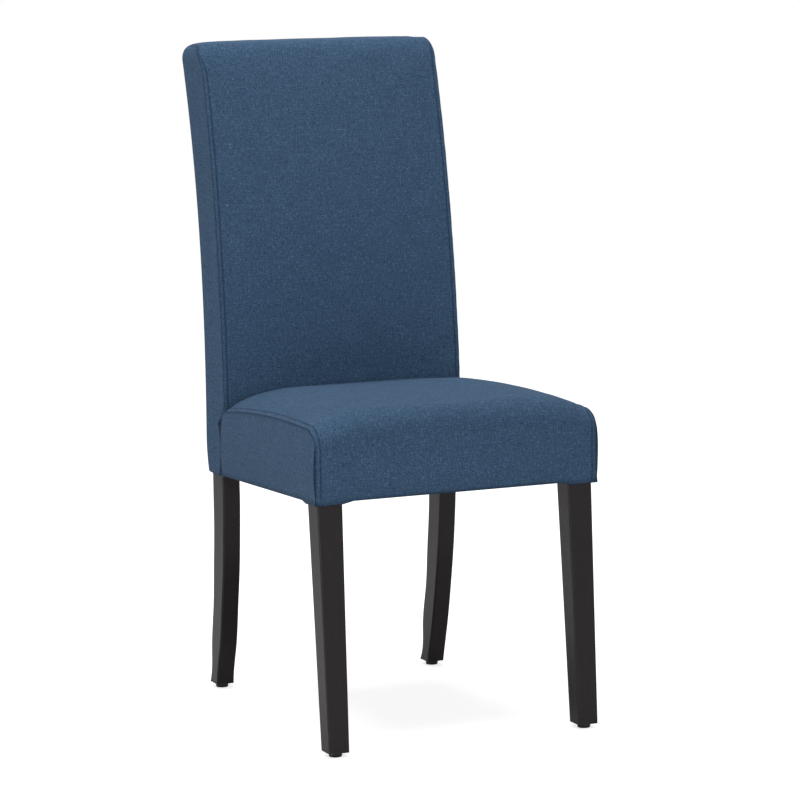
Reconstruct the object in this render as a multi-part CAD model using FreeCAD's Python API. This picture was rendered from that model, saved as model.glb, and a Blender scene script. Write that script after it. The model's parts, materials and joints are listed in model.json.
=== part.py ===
# Upholstered dining chair: wooden legs and frame, webbing, foam, sewn covers and four levelling feet.
# Millimetres. +Z is up and the chair faces -Y. The origin is on the floor under the middle of the chair.
import FreeCAD, Part
import math
import os

V = FreeCAD.Vector

# Overall sizes, as printed beside the chair
width, depth, height = 439.4, 589.3, 980.4
seat_height = 490.2

# Seat: front and rear faces, half widths at both, hem line, seam line and crown
seat_front, seat_rear = -280.0, 132.0
seat_half_front, seat_half_rear = 217.7, 200.0
hem_front_z, hem_rear_z = seat_height - 130.4, seat_height - 150.0
seam_top_z, seam_top_y, seam_curve = seat_height - 29.2, seat_front + 65.0, 0.00021
crown_top_y, crown_curve = seat_front + 150.0, 0.000389
edge_round, seam_front_drop, crown_front_drop = 34.0, 26.0, 34.0
shoulder_width, shoulder_rise, side_rise = 78.0, 4.0, 2.0

# Back: hem, half widths, the curve of its rear face and its thickness, from the lower to the upper end
back_hem_z = seat_height - 153.3
back_half_low, back_half_high = seat_half_rear - 5.1, seat_half_rear - 9.0
back_bend = (206.6, -10.9, 68.9, 30.0)
back_thickness = (78.4, -33.4, 36.5)
back_front_low = seat_rear + 1.0
back_front_rise, back_rear_rise = 6.0, 6.57
back_corner, back_top_round = 6.0, 28.0
tuck_z, fold_z = seat_height - 75.2, seat_height - 95.2

# Skins and padding
cover, wadding = 1.6, 3.2
seam_inset_seat, seam_inset_back = 2.0, 3.0

# Wooden frame
foot_z = 6.9
leg_round = 2.5
front_foot = (seat_half_front - 23.0, seat_front + 0.85, 31.0, 31.0)
front_top = (seat_half_front - 23.8, seat_front + 25.95, 38.0, 37.5)
front_leg_top = seat_height - 79.2
rear_foot_x, post_thick, post_top = seat_half_rear - 10.1, 27.7, height - 30.4
kick_z, kick_power = seat_height - 170.2, 1.8
waist_front, waist_rear, kick_front, kick_rear = 147.0, 190.5, 49.6, 37.3
rail_thick, rail_high = 22.0, 58.0
webbing = 1.5

# Hardware
dowel_radius, dowel_half = 4.0, 15.0
bolt_radius, washer_radius = 4.0, 9.0
screw_radius, screw_head = 2.0, 4.0
staple_wide, staple_wire, staple_long = 10.0, 0.7, 8.0
stud_radius, stud_top, nut_radius, nut_long = 3.0, 30.0, 5.0, 13.0
running_clearance = 0.05
pad_top_radius, pad_low_radius, pad_high = 10.0, 9.0, 6.6


def hem(y):
    return hem_front_z + (hem_rear_z - hem_front_z) * (y - seat_front) / (seat_rear - seat_front)


def seat_half(y):
    return seat_half_front + (seat_half_rear - seat_half_front) * (y - seat_front) / (seat_rear - seat_front)


def quarter(u):
    # How far a rounded edge is still from its full size, 1 at its rim and 0 where it ends
    u = min(max(u, 0.0), 1.0)
    return 1.0 - math.sqrt(1.0 - (1.0 - u) ** 2)


def back_rear(z):
    s = (z - 380.0) / 600.0
    a, b, c, d = back_bend
    turn_in = 10.0 * (max(fold_z - z, 0.0) / 58.0) ** 2
    return a + b * s + c * s * s + d * s ** 3 - turn_in


def back_front(z):
    s = (z - 380.0) / 600.0
    a, b, c = back_thickness
    return max(back_rear(max(z, fold_z)) - (a + b * s + c * s * s), back_front_low)


def back_half(z):
    return back_half_low + (back_half_high - back_half_low) * (z - back_hem_z) / (height - back_hem_z)


def front_bulge(z):
    # The back's front is flat where the seat meets it and crowned above
    s = min(max((z - seat_height + 22.2) / 110.0, 0.0), 1.0)
    return 0.3 + (back_front_rise - 0.3) * s * s * (3.0 - 2.0 * s)


def post_faces(z):
    # Front and rear face of a rear leg, which goes on upwards as the post of the back
    kick = (max(kick_z - z, 0.0) / (kick_z - foot_z)) ** kick_power
    front, rear = waist_front + kick_front * kick, waist_rear + kick_rear * kick
    s = min(max((z - kick_z) / 130.0, 0.0), 1.0)
    w = s * s * (3.0 - 2.0 * s)
    return (front + w * (back_front(z) + 26.0 - front), rear + w * (back_rear(z) - 8.0 - rear))


def post_outer(z):
    low = rear_foot_x + 3.0 * (z - foot_z) / (back_hem_z - foot_z)
    return low if z < back_hem_z else rear_foot_x + 3.0 - 0.0061 * (z - back_hem_z)


def line(a, b):
    return Part.LineSegment(V(*a), V(*b)).toShape()


def arc(a, m, b):
    return Part.Arc(V(*a), V(*m), V(*b)).toShape()


def bow(a, b, rise, side):
    m = [(p + q) / 2.0 + rise * n for p, q, n in zip(a, b, side)]
    return arc(a, m, b)


def prism(points, way):
    wire = Part.makePolygon([V(*p) for p in points] + [V(*points[0])])
    return Part.Face(wire).extrude(V(*way))


def box(low, high):
    return Part.makeBox(high[0] - low[0], high[1] - low[1], high[2] - low[2], V(*low))


def rod(start, way, length, radius):
    return Part.makeCylinder(radius, length, V(*start), V(*way))


def mirror(shape):
    return shape.mirror(V(0, 0, 0), V(1, 0, 0))


def both(shape):
    return [shape, mirror(shape)]


def loft(wires, ruled=False):
    return Part.makeLoft(wires, True, ruled, False, 3)


def cut(shape, *tools):
    for tool in tools:
        shape = shape.cut(tool)
    return shape


# Seat body, set in by d from the cover's outer face. The hem side lies at lift above the hem line.
def seat_section(y, d, lift, rise, narrow=0.0):
    half = seat_half(y) - d - narrow
    u = (y - seat_front) / edge_round
    seam_z = seam_top_z - seam_curve * (y - seam_top_y) ** 2 - seam_front_drop * quarter(u) - d
    crown_z = seat_height - crown_curve * (y - crown_top_y) ** 2 - crown_front_drop * quarter(u) - d
    shoulder_z = seam_z + 0.9 * (crown_z - seam_z)
    at = seat_y(y, d)
    low, seam = (half, at, hem(y) + lift), (half, at, seam_z)
    top, crown = (half - shoulder_width, at, shoulder_z), (0.0, at, crown_z)
    slope = math.hypot(shoulder_width, shoulder_z - seam_z)
    out = ((shoulder_z - seam_z) / slope, 0.0, shoulder_width / slope)
    flip = lambda p: (-p[0], p[1], p[2])
    edges = [bow(low, seam, rise, (1, 0, 0)), bow(seam, top, shoulder_rise, out), arc(top, crown, flip(top)),
             bow(flip(top), flip(seam), shoulder_rise, flip(out)), bow(flip(seam), flip(low), rise, (-1, 0, 0)),
             line(flip(low), low)]
    return Part.Wire(edges)


def seat_y(y, d):
    # The front end moves in by d and the rear end stays where it is
    return y + d * (seat_rear - y) / (seat_rear - seat_front)


def seat_body(d, lift, rise, rear=seat_rear, narrow=0.0):
    steps = [seat_front + edge_round * u for u in (0.0, 0.08, 0.25, 0.52, 0.95)]
    steps += [-222.0, -185.0, -130.0, -65.0, 5.0, 70.0, rear]
    return loft([seat_section(y, d, lift, rise, narrow) for y in steps])


# Back body, set in by d from the cover's outer face, with its lower end at z = low
def back_section(z, d):
    u = (height - z) / back_top_round
    half = back_half(z) - 16.0 * quarter(u) - d
    front = back_front(z) + 24.0 * quarter(u) + d
    rear = back_rear(z) - 14.0 * quarter(u) - d
    r = max(back_corner - d, 1.5)
    k = r * (1.0 - math.sqrt(0.5))
    f1, f2 = (-half + r, front, z), (half - r, front, z)
    s1, s2 = (half, front + r, z), (half, rear - r, z)
    r1, r2 = (half - r, rear, z), (-half + r, rear, z)
    t1, t2 = (-half, rear - r, z), (-half, front + r, z)
    edges = [bow(f1, f2, front_bulge(z), (0, -1, 0)), arc(f2, (half - k, front + k, z), s1), line(s1, s2),
             arc(s2, (half - k, rear - k, z), r1), bow(r1, r2, back_rear_rise, (0, 1, 0)),
             arc(r2, (-half + k, rear - k, z), t1), line(t1, t2), arc(t2, (-half + k, front + k, z), f1)]
    return Part.Wire(edges)


def back_body(d, low):
    above = height - seat_height
    straight = [low, fold_z - 35.0, fold_z, seat_height - 50.2]
    straight += [seat_height + above * u for u in (0.02, 0.163, 0.306, 0.448, 0.591, 0.714, 0.816, 0.887)]
    rounded = [height - back_top_round * u for u in (1.0, 0.6, 0.25, 0.06, 0.0)]
    wires = []
    for z in straight + rounded:
        wire = back_section(z, d)
        # the upper end moves down by d with the rounding
        wire.translate(V(0, 0, -d * max(0.0, (z - straight[-1]) / (height - straight[-1]))))
        wires.append(wire)
    return loft(wires)


def rounded_section(x1, x2, y1, y2, z, r):
    k = r * (1.0 - math.sqrt(0.5))
    edges = [line((x1 + r, y1, z), (x2 - r, y1, z)), arc((x2 - r, y1, z), (x2 - k, y1 + k, z), (x2, y1 + r, z)),
             line((x2, y1 + r, z), (x2, y2 - r, z)), arc((x2, y2 - r, z), (x2 - k, y2 - k, z), (x2 - r, y2, z)),
             line((x2 - r, y2, z), (x1 + r, y2, z)), arc((x1 + r, y2, z), (x1 + k, y2 - k, z), (x1, y2 - r, z)),
             line((x1, y2 - r, z), (x1, y1 + r, z)), arc((x1, y1 + r, z), (x1 + k, y1 + k, z), (x1 + r, y1, z))]
    return Part.Wire(edges)


def post_envelope(front_gap, rear_gap, half, low, high):
    # Space between the posts' front and rear faces over the whole width, with room added at both
    steps = [z for z in post_steps if low + 1.0 < z < high - 1.0]
    wires = []
    for z in [low] + steps + [high]:
        front, rear = post_faces(z)
        wires.append(Part.makePolygon([V(-half, front - front_gap, z), V(half, front - front_gap, z),
                                       V(half, rear + rear_gap, z), V(-half, rear + rear_gap, z),
                                       V(-half, front - front_gap, z)]))
    return loft(wires)


post_steps = [kick_z * u for u in (0.1875, 0.36, 0.53, 0.703, 0.875, 1.0)]
post_steps += [seat_height - drop for drop in (145.2, 120.2, 90.2, 60.2, 20.2)]
post_steps += [seat_height + (height - seat_height) * u
               for u in (0.081, 0.224, 0.367, 0.51, 0.652, 0.775, 0.867)]


# Legs, shown on the +X side
def front_leg():
    wires = []
    for (x, y, sx, sy), z in ((front_foot, foot_z), (front_top, hem_front_z), (front_top, front_leg_top)):
        wires.append(rounded_section(x - sx / 2, x + sx / 2, y - sy / 2, y + sy / 2, z, leg_round))
    return loft(wires, True)


def rear_leg():
    wires = []
    for z in [foot_z] + post_steps + [post_top]:
        front, rear = post_faces(z)
        wires.append(rounded_section(post_outer(z) - post_thick, post_outer(z), front, rear, z, leg_round))
    return loft(wires)


front_leg_solid, rear_leg_solid = front_leg(), rear_leg()

# Seat frame rails
leg_front_y, leg_rear_y = front_top[1] - front_top[3] / 2, front_top[1] + front_top[3] / 2
leg_outer_x, leg_inner_x = front_top[0] + front_top[2] / 2, front_top[0] - front_top[2] / 2
post_front_y = post_faces(hem_rear_z + 1.6)[0]
frame_low, frame_high = hem_rear_z - 40.0, hem_front_z + 80.0
rail_end_x = post_outer(back_hem_z) - 0.1
rail_low = cover + 0.1


def sloped_slab(low, high):
    # Everything between two planes that run parallel to the hem line
    return prism([(-300, -300, hem(-300) + low), (-300, 300, hem(300) + low), (-300, 300, hem(300) + high),
                  (-300, -300, hem(-300) + high)], (600, 0, 0))


rail_slab = sloped_slab(rail_low, rail_low + rail_high)
front_rail = box((-leg_inner_x, leg_front_y, frame_low),
                 (leg_inner_x, leg_front_y + rail_thick, frame_high)).common(rail_slab)
side_rail = prism([(leg_outer_x, leg_rear_y, frame_low), (rail_end_x, post_front_y - 0.2, frame_low),
                   (rail_end_x - rail_thick, post_front_y - 0.2, frame_low),
                   (leg_outer_x - rail_thick, leg_rear_y, frame_low)], (0, 0, frame_high - frame_low))
# its rear end is rebated for the edge of the back's cover
side_rail = cut(side_rail.common(rail_slab), box((rail_end_x - 1.7, back_front_low - 0.2, frame_low),
                                                 (rail_end_x + 9.0, post_front_y, frame_high)))
post_inner_x = post_outer(back_hem_z) - post_thick
rear_rail_front = waist_front + 3.0
rear_rail_top = hem(rear_rail_front + rail_thick) + rail_low + rail_high - 0.1
rear_rail = box((-post_inner_x - 4, rear_rail_front, back_hem_z + cover + 0.1),
                (post_inner_x + 4, rear_rail_front + rail_thick, rear_rail_top))
rear_rail = cut(rear_rail, rear_leg_solid, mirror(rear_leg_solid))


def back_rail(low, high):
    points = []
    for z, side in ((low, -1), (low, 1), (high, 1), (high, -1)):
        points.append((-170.0, sum(post_faces(z)) / 2 + side * rail_thick / 2, z))
    return cut(prism(points, (340.0, 0, 0)), rear_leg_solid, mirror(rear_leg_solid))


back_rail_high = 50.0
lowest, topmost = seat_height - 35.2, post_top - 54.0
back_rails = {"back_lower_rail": lowest, "back_middle_rail": lowest + 0.442 * (topmost - lowest),
              "back_top_rail": topmost}
back_rail_solids = {name: back_rail(low, low + back_rail_high) for name, low in back_rails.items()}

# Corner blocks: the front ones touch the leg's inner corner, the rear ones fill the corner before the post
block_z, block_high = hem_front_z + 11.8, 32.0
block_y, block_x = leg_front_y + rail_thick, leg_inner_x + 21.1
front_block = prism([(leg_inner_x - 15.5, block_y, block_z), (block_x, leg_rear_y + 21.1, block_z),
                     (block_x, leg_rear_y + 55.1, block_z), (leg_inner_x - 49.5, block_y, block_z)],
                    (0, 0, block_high)).common(box((0, block_y, frame_low), (300, 0, frame_high)))
front_block = cut(front_block, side_rail, front_leg_solid)
block_x, block_y, block_z = post_inner_x - 0.7, waist_front, hem_rear_z + 8.0
rear_block = prism([(block_x + 25.5, block_y - 67.0, block_z), (block_x + 25.5, block_y, block_z),
                    (block_x, block_y, block_z), (block_x, rear_rail_front, block_z),
                    (block_x - 54.5, rear_rail_front, block_z)], (0, 0, block_high))
rear_block = cut(rear_block, side_rail, rear_leg_solid, rear_rail)

# Hanger bolts through the front corner blocks into the legs
diagonal = V(1, -1, 0).normalize()
leg_corner = V(leg_inner_x, leg_rear_y, hem_front_z + 27.8)
bolt_start = leg_corner - diagonal * 40.0
hanger_bolt = Part.makeCylinder(bolt_radius, 66.0, bolt_start, diagonal)
block_face = leg_corner - diagonal * 24.1
washer = Part.makeCylinder(washer_radius, 1.6, block_face - diagonal * 1.6, diagonal)
washer = washer.cut(Part.makeCylinder(bolt_radius, 10, block_face - diagonal * 5, diagonal))


def hex_nut(base, way, flats, high, hole):
    # A six-sided nut on an axis that lies flat
    across = way.cross(V(0, 0, 1)).normalize()
    corner = flats / math.sqrt(3.0)
    points = []
    for i in range(6):
        a = math.radians(60.0 * i)
        points.append(base + across * (corner * math.cos(a)) + V(0, 0, corner * math.sin(a)))
    nut = Part.Face(Part.makePolygon(points + [points[0]])).extrude(way * high)
    return nut.cut(Part.makeCylinder(hole, high + 4, base - way * 2, way))


nut_base = block_face - diagonal * 1.6
hanger_nut = hex_nut(nut_base - diagonal * 6.5, diagonal, 13.0, 6.5, bolt_radius)

# Wood screws: two through each corner block, with their heads sunk in pockets
screw_spots = [((leg_inner_x - 32.9, leg_rear_y - 2.2, hem_front_z + 20.8), (0, -1, 0), 26.0),
               ((leg_inner_x + 4.1, leg_rear_y + 32.3, hem_front_z + 34.8), (1, 0, 0), 20.0),
               ((post_inner_x - 27.2, rear_rail_front - 19.5, hem_rear_z + 17.0), (0, 1, 0), 34.0),
               ((post_inner_x - 8.2, rear_rail_front - 38.0, hem_rear_z + 30.0), (1, 0, 0), 32.0)]
screws, pockets = [], []
for spot, way, long in screw_spots:
    screw = rod(spot, way, long, screw_radius).fuse(rod(spot, way, 2.4, screw_head))
    screws += both(screw)
    back_way = tuple(-w for w in way)
    pockets.append(rod(spot, back_way, 60.0, screw_head + 0.6))
front_block = cut(front_block, pockets[0], pockets[1],
                  Part.makeCylinder(bolt_radius, 66.0, bolt_start, diagonal))
rear_block = cut(rear_block, pockets[2], pockets[3])

# Dowels of the seat frame and of the back frame
seat_dowels = []
for z in (hem_front_z + 15.8, hem_front_z + 41.8):
    seat_dowels += both(rod((leg_inner_x - dowel_half, leg_front_y + 11, z), (1, 0, 0), 2 * dowel_half,
                            dowel_radius))
    seat_dowels += both(rod((leg_outer_x - 11, leg_rear_y - dowel_half, z), (0, 1, 0), 2 * dowel_half,
                            dowel_radius))
for z in (hem_rear_z + 14.0, hem_rear_z + 46.0):
    seat_dowels += both(rod((post_inner_x + 14.4, post_front_y - dowel_half, z), (0, 1, 0), 2 * dowel_half - 2,
                            dowel_radius))
for z in (hem_rear_z + 24.5, hem_rear_z + 35.5):
    seat_dowels += both(rod((post_inner_x - dowel_half, rear_rail_front + 11, z), (1, 0, 0), 2 * dowel_half - 3,
                            dowel_radius))
back_dowels = []
for low in back_rails.values():
    for z in (low + 12.0, low + back_rail_high - 12.0):
        inner = post_outer(z) - post_thick
        start = (inner - dowel_half, sum(post_faces(z)) / 2, z)
        back_dowels += both(rod(start, (1, 0, 0), 2 * dowel_half - 3, dowel_radius))

# Levelling feet: a threaded insert in each leg, a stud and a pad
foot_places = {"front_left": (-front_foot[0], front_foot[1]), "front_right": (front_foot[0], front_foot[1]),
               "rear_left": (-(rear_foot_x - post_thick / 2), sum(post_faces(foot_z)) / 2),
               "rear_right": (rear_foot_x - post_thick / 2, sum(post_faces(foot_z)) / 2)}


def foot_bores(x, y):
    seat = rod((x, y, foot_z - 1), (0, 0, 1), nut_long + 1, nut_radius)
    return seat.fuse(rod((x, y, foot_z), (0, 0, 1), stud_top + 2 - foot_z, stud_radius + 0.5))


def insert_nut(x, y):
    nut = rod((x, y, foot_z), (0, 0, 1), nut_long, nut_radius)
    return nut.cut(rod((x, y, 0), (0, 0, 1), 60, stud_radius + running_clearance))


def foot_stud(x, y):
    stud = rod((x, y, 1.9), (0, 0, 1), stud_top - 1.9, stud_radius)
    return stud.makeChamfer(0.6, [e for e in stud.Edges if len(e.Vertexes) == 1])


def foot_pad(x, y):
    pad = Part.makeCone(pad_low_radius, pad_top_radius, pad_high, V(x, y, 0), V(0, 0, 1))
    rims = [e for e in pad.Edges if len(e.Vertexes) == 1]
    pad = pad.makeFillet(0.8, rims)
    return pad.cut(rod((x, y, 1.6), (0, 0, 1), 10, stud_radius + running_clearance))


# Webbing
webs_long, webs_cross, webs_back = [], [], []
web_low = rail_low + rail_high
for x in (-120.0, -40.0, 40.0, 120.0):
    strap = box((x - 25, leg_front_y + 4.8, frame_low), (x + 25, rear_rail_front + 20, seat_height))
    webs_long.append(cut(strap.common(sloped_slab(web_low, web_low + webbing)),
                         box((-300, rear_rail_front - 0.5, rear_rail_top - 15),
                             (300, 300, rear_rail_top + 0.05))))
for y in (-200.0, -125.0, -50.0, 25.0, 100.0):
    long = leg_outer_x - 0.0527 * (y + 25.0 - leg_rear_y) - 4.0
    strap = box((-long, y - 25, frame_low), (long, y + 25, seat_height))
    webs_cross.append(strap.common(sloped_slab(web_low + webbing, web_low + 2 * webbing)))
for i in range(5):
    z = seat_height - 10.2 + (post_top - 90.0 - (seat_height - 10.2)) * i / 4
    points = []
    for at, gap in ((z - 25, 1.7), (z - 25, 0.2), (z + 25, 0.2), (z + 25, 1.7)):
        points.append((6.9 - post_outer(back_hem_z), post_faces(at)[0] - gap, at))
    strap = prism(points, (2 * post_outer(back_hem_z) - 13.8, 0, 0))
    webs_back.append(cut(strap, rear_leg_solid, mirror(rear_leg_solid)))

# Seat padding and cover
seat_outside = seat_body(0.0, 0.0, side_rise)
seat_inside = seat_body(cover, rail_low - 0.1, side_rise, seat_rear)
seat_core = seat_body(cover + wadding, -30.0, 0.1, seat_rear + 8.0, -1.9)
open_front, open_rear = seat_half_front - 25.7, seat_half_rear - 23.0
opening = prism([(-open_front, seat_front + 26.0, frame_low), (open_front, seat_front + 26.0, frame_low),
                 (open_rear, seat_rear + 8.0, frame_low), (-open_rear, seat_rear + 8.0, frame_low)], (0, 0, 75))
seat_wadding = cut(seat_inside, seat_core)
seat_foam = seat_core.common(sloped_slab(web_low + 2 * webbing, 300.0)).common(
    box((-300, seat_front - 20, frame_low), (300, seat_rear, seat_height + 100)))
seat_skin = cut(seat_outside, seat_inside, opening, front_leg_solid, mirror(front_leg_solid))
inset = seam_inset_seat
seat_middle = prism([(-seat_half_front + inset, seat_front - 20, frame_low),
                     (seat_half_front - inset, seat_front - 20, frame_low),
                     (seat_half(300) - inset, 300, frame_low), (-seat_half(300) + inset, 300, frame_low)],
                     (0, 0, 300))

# Back padding, panel and cover
back_outside, back_inside = back_body(0.0, back_hem_z), back_body(cover, back_hem_z + cover)
frame_space = post_envelope(2.0, 3.0, 300.0, frame_low, post_top + 0.3)
back_foam = cut(back_inside, frame_space, box((-300, 50, frame_low), (300, 185, tuck_z)))
back_board = cut(post_envelope(-30.0, 2.8, post_outer(back_hem_z) - 5.9, back_hem_z + 9.1, post_top - 6.0),
                 post_envelope(-20.0, 0.2, 300.0, back_hem_z - 16.9, post_top + 10.0))
back_middle = prism([(-back_half_low + seam_inset_back, 60, back_hem_z - 20),
                     (back_half_low - seam_inset_back, 60, back_hem_z - 20),
                     (back_half_high - seam_inset_back, 60, height + 20),
                     (-back_half_high + seam_inset_back, 60, height + 20)], (0, 340, 0))
back_skin = cut(back_outside, back_inside, rear_leg_solid, mirror(rear_leg_solid))
tucked = box((-300, 50, frame_low), (300, rear_rail_front - 1.0, tuck_z))

# Dust cover and its staples
outline = [(leg_inner_x - 6.9, leg_front_y + 6.8), (leg_inner_x - 6.9, leg_rear_y + 7.3),
           (leg_outer_x - 13.9, leg_rear_y + 7.3), (post_inner_x + 18.8, waist_front - 29.0),
           (post_inner_x - 15.2, waist_front - 21.0), (post_inner_x - 15.2, rear_rail_front + 15.0)]
outline = [(x, y, frame_low) for x, y in outline] + [(-x, y, frame_low) for x, y in reversed(outline)]
flap_z, flap_y, thin = back_hem_z - 0.05, rear_rail_front - 2.0, 0.6
side_view = [(-300, seat_front, hem(seat_front)), (-300, seat_rear - 6.0, hem(seat_rear - 6.0)),
             (-300, flap_y, flap_z),
             (-300, 200, flap_z)]
side_view += [(x, y, z - thin) for x, y, z in reversed(side_view)]
dust_cover = prism(outline, (0, 0, 140)).common(prism(side_view, (600, 0, 0)))


def staple(x, y, along_x):
    half, wire = staple_wide / 2, staple_wire / 2
    dx, dy = (half, wire) if along_x else (wire, half)
    z = (flap_z if y > flap_y else hem(y)) - thin - 0.25
    crown = box((x - dx, y - dy, z - staple_wire), (x + dx, y + dy, z))
    legs = []
    for side in (-1, 1):
        ex, ey = (x + side * (half - wire), y) if along_x else (x, y + side * (half - wire))
        legs.append(box((ex - wire, ey - wire, z - 0.01), (ex + wire, ey + wire, z + staple_long)))
    return crown.fuse(legs[0]).fuse(legs[1]), legs


staples, staple_holes = [], []
staple_spots = [(x, leg_front_y + 12.8, True) for x in (-150, -100, -50, 0, 50, 100, 150)]
staple_spots += [(x, rear_rail_front + 8.0, True) for x in (-130, -65, 0, 65, 130)]
for y in (-205, -150, -95, -40, 15, 70):
    x = leg_outer_x - 0.0527 * (y - leg_rear_y) - 15.5
    staple_spots += [(x, y, False), (-x, y, False)]
for spot in staple_spots:
    solid, legs = staple(*spot)
    staples.append(solid.removeSplitter())
    staple_holes += legs
holes = Part.makeCompound(staple_holes)

# Cut the joints' holes
dowel_holes = Part.makeCompound(seat_dowels)
back_dowel_holes = Part.makeCompound(back_dowels)
screw_holes = Part.makeCompound(screws)
bolt_holes = Part.makeCompound(both(hanger_bolt))
front_legs = [cut(s, dowel_holes, bolt_holes) for s in both(front_leg_solid)]
rear_legs = [cut(s, dowel_holes, back_dowel_holes) for s in both(rear_leg_solid)]
for pair, end in ((front_legs, "front"), (rear_legs, "rear")):
    for i, side in ((0, "right"), (1, "left")):
        pair[i] = pair[i].cut(foot_bores(*foot_places[end + "_" + side]))
front_rail = cut(front_rail, dowel_holes, screw_holes, holes)
rear_rail = cut(rear_rail, dowel_holes, screw_holes, holes)
side_rails = [cut(s, dowel_holes, screw_holes, holes) for s in both(side_rail)]
front_blocks = [cut(s, screw_holes) for s in both(front_block)]
rear_blocks = [cut(s, screw_holes) for s in both(rear_block)]
back_rail_solids = {n: s.cut(back_dowel_holes) for n, s in back_rail_solids.items()}
dust_cover = dust_cover.cut(holes)
seat_skin = seat_skin.cut(holes)
back_skin = back_skin.cut(holes)

nodes = {
    "front_leg_left": [front_legs[1]], "front_leg_right": [front_legs[0]],
    "rear_leg_left": [rear_legs[1]], "rear_leg_right": [rear_legs[0]],
    "seat_front_rail": [front_rail], "seat_rear_rail": [rear_rail],
    "seat_side_rail_left": [side_rails[1]], "seat_side_rail_right": [side_rails[0]],
    "corner_block_front_left": [front_blocks[1]], "corner_block_front_right": [front_blocks[0]],
    "corner_block_rear_left": [rear_blocks[1]], "corner_block_rear_right": [rear_blocks[0]],
    "corner_block_screws": screws, "seat_frame_dowels": seat_dowels, "back_frame_dowels": back_dowels,
    "front_leg_bolts": both(hanger_bolt), "front_leg_washers": both(washer), "front_leg_nuts": both(hanger_nut),
    "seat_webbing_lengthwise": webs_long, "seat_webbing_crosswise": webs_cross, "back_webbing": webs_back,
    "seat_foam": [seat_foam], "seat_wadding": [seat_wadding],
    "back_foam": [back_foam], "back_board": [back_board],
    "seat_cover_center": [seat_skin.common(seat_middle)],
    "back_cover_center": [cut(back_skin.common(back_middle), tucked)],
    "dust_cover": [dust_cover], "dust_cover_staples": staples,
    "leg_insert_nuts": [insert_nut(*p) for p in foot_places.values()],
}
right_half, left_half = box((0, -400, 0), (400, 400, 1100)), box((-400, -400, 0), (0, 400, 1100))
for name, skin, middle in (("seat_cover_side", seat_skin, seat_middle),
                           ("back_cover_side", back_skin, back_middle)):
    sides = skin.cut(middle)
    nodes[name + "_left"] = [sides.common(left_half)]
    nodes[name + "_right"] = [sides.common(right_half)]
nodes.update({name: [solid] for name, solid in back_rail_solids.items()})
for place, spot in foot_places.items():
    nodes["foot_pad_" + place] = [foot_pad(*spot)]
    nodes["foot_stud_" + place] = [foot_stud(*spot)]

os.makedirs("parts", exist_ok=True)
low, high = [1e9] * 3, [-1e9] * 3
for name, shapes in nodes.items():
    solids = [solid for shape in shapes for solid in shape.Solids]
    joined = solids[0] if len(solids) == 1 else Part.makeCompound(solids)
    joined.exportStep("parts/" + name + ".step")
    b = joined.optimalBoundingBox(False, False)
    low = [min(p, q) for p, q in zip(low, (b.XMin, b.YMin, b.ZMin))]
    high = [max(p, q) for p, q in zip(high, (b.XMax, b.YMax, b.ZMax))]
    print(name, len(solids), joined.isValid(), round(joined.Volume / 1000.0, 2), "cm3",
          [round(v, 2) for v in (b.XMin, b.XMax, b.YMin, b.YMax, b.ZMin, b.ZMax)])
print("box", [round(v, 2) for v in low], [round(v, 2) for v in high])
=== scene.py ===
# Upholstered dining chair: sewn and padded covers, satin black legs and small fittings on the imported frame.
# Lengths in the making functions are millimetres, as in the part's source; meshes are written in metres.
import json
import math

import bpy
import bmesh
from mathutils import Matrix, Vector, noise

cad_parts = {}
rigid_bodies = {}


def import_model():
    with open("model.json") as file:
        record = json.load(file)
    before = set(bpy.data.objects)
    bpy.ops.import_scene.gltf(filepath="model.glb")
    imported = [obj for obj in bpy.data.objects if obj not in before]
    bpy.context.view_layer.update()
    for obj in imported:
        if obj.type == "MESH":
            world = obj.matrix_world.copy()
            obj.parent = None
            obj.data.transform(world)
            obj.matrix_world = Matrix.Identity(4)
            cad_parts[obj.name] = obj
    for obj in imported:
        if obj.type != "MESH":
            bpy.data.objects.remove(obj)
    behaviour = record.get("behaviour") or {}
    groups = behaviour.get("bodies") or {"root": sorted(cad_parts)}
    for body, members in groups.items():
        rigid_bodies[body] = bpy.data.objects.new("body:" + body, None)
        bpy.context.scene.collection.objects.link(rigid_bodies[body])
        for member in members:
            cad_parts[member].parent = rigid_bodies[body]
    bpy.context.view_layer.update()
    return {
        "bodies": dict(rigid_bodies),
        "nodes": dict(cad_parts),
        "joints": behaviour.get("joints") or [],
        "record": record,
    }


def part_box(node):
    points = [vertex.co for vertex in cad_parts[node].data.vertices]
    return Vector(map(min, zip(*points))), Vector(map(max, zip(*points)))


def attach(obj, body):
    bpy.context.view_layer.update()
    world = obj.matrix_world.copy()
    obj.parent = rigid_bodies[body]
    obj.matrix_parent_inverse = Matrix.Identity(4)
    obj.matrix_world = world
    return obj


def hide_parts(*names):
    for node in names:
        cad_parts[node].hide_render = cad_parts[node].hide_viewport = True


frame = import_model()
nodes = frame["nodes"]
scene = bpy.context.scene
MM = 0.001

# Sizes shared with the part's source
HEIGHT = 980.4
SEAT_FRONT, SEAT_REAR = -280.0, 132.0
SEAT_HALF = (217.7, 200.0)
HEM = (359.8, 340.2)
SEAM_TOP, CROWN_TOP = (461.0, -215.0, 0.00021), (490.2, -130.0, 0.000389)
EDGE_ROUND, SEAM_DROP, CROWN_DROP = 34.0, 26.0, 34.0
BACK_LOW, BACK_HALF = 336.9, (194.9, 191.0)
BACK_BEND, BACK_THICKNESS = (206.6, -10.9, 68.9, 30.0), (78.4, -33.4, 36.5)
TOP_ROUND, TUCK = 28.0, 415.0
TOPSTITCH = 7.0

# The cushions' lattices: half of the width across the cover, and the way down the seat's side or over the gusset
SEAT_GRID, SIDE_TALL = 209.0, 95.0
BACK_GRID, GUSSET = 192.0, 70.0


# Small helpers

def mix(a, b, t):
    return a + (b - a) * t


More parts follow.
